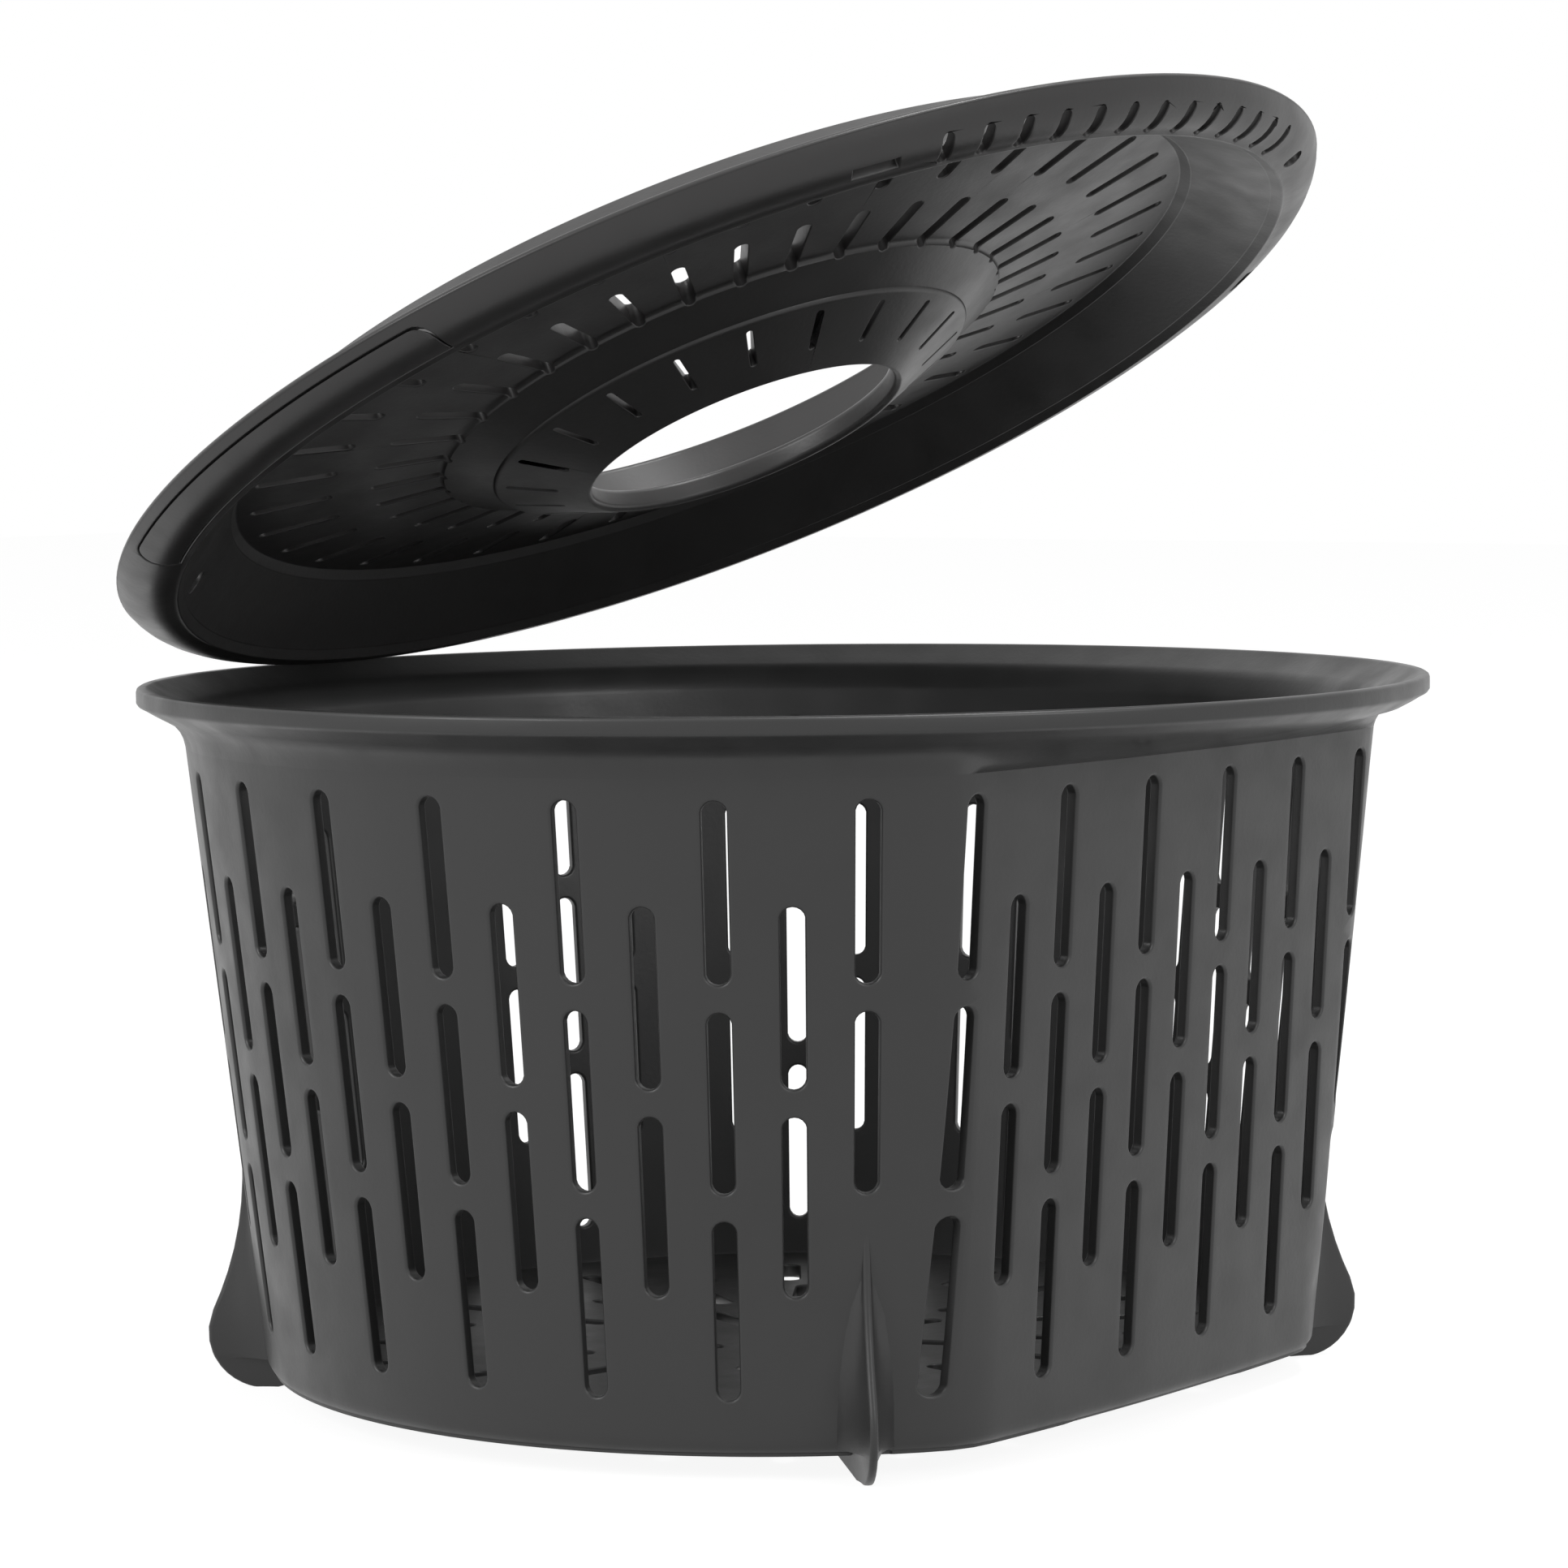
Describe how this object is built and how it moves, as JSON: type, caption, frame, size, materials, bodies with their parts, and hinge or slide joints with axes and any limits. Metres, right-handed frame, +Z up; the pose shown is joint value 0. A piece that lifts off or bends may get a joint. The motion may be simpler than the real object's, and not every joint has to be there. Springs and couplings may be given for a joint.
{
  "type": "draining basket",
  "caption": "Round slotted draining basket with one flattened side, blade feet and a vented lid with a central hole, shown tilted open.",
  "frame": {"origin": "on the basket's axis, in the plane of the four feet", "axes": "+Z up; the flattened wall faces -Y; the lid's hinge line runs along X at the back (+Y)"},
  "size_m": [0.22, 0.2206, 0.2189],
  "materials": {
    "basket_plastic": "satin moulded polypropylene",
    "lid_plastic": "satin moulded polypropylene"
  },
  "bodies": {
    "basket": {"basket_rim": "basket_plastic", "basket_ledge": "basket_plastic", "basket_flat_wall": "basket_plastic", "basket_left_corner_wall": "basket_plastic", "basket_right_corner_wall": "basket_plastic", "basket_left_wall_1": "basket_plastic", "basket_left_wall_2": "basket_plastic", "basket_left_wall_3": "basket_plastic", "basket_left_wall_4": "basket_plastic", "basket_left_wall_5": "basket_plastic", "basket_right_wall_1": "basket_plastic", "basket_right_wall_2": "basket_plastic", "basket_right_wall_3": "basket_plastic", "basket_right_wall_4": "basket_plastic", "basket_right_wall_5": "basket_plastic", "basket_back_wall": "basket_plastic", "basket_floor": "basket_plastic", "foot_front_left": "basket_plastic", "foot_front_right": "basket_plastic", "foot_back_left": "basket_plastic", "foot_back_right": "basket_plastic"},
    "lid": {"lid_rim": "lid_plastic", "lid_side_panel": "lid_plastic", "lid_shoulder": "lid_plastic", "lid_vent_plate": "lid_plastic", "lid_hub_ring": "lid_plastic", "lid_hub_base": "lid_plastic"}
  },
  "joints": [
    {"name": "lid_tilt", "type": "hinge", "parent": "basket", "child": "lid", "pos_m": [0, 0.1078, 0.1213], "axis": [-1, 0, 0], "range_deg": [-25.9, 32]}
  ]
}
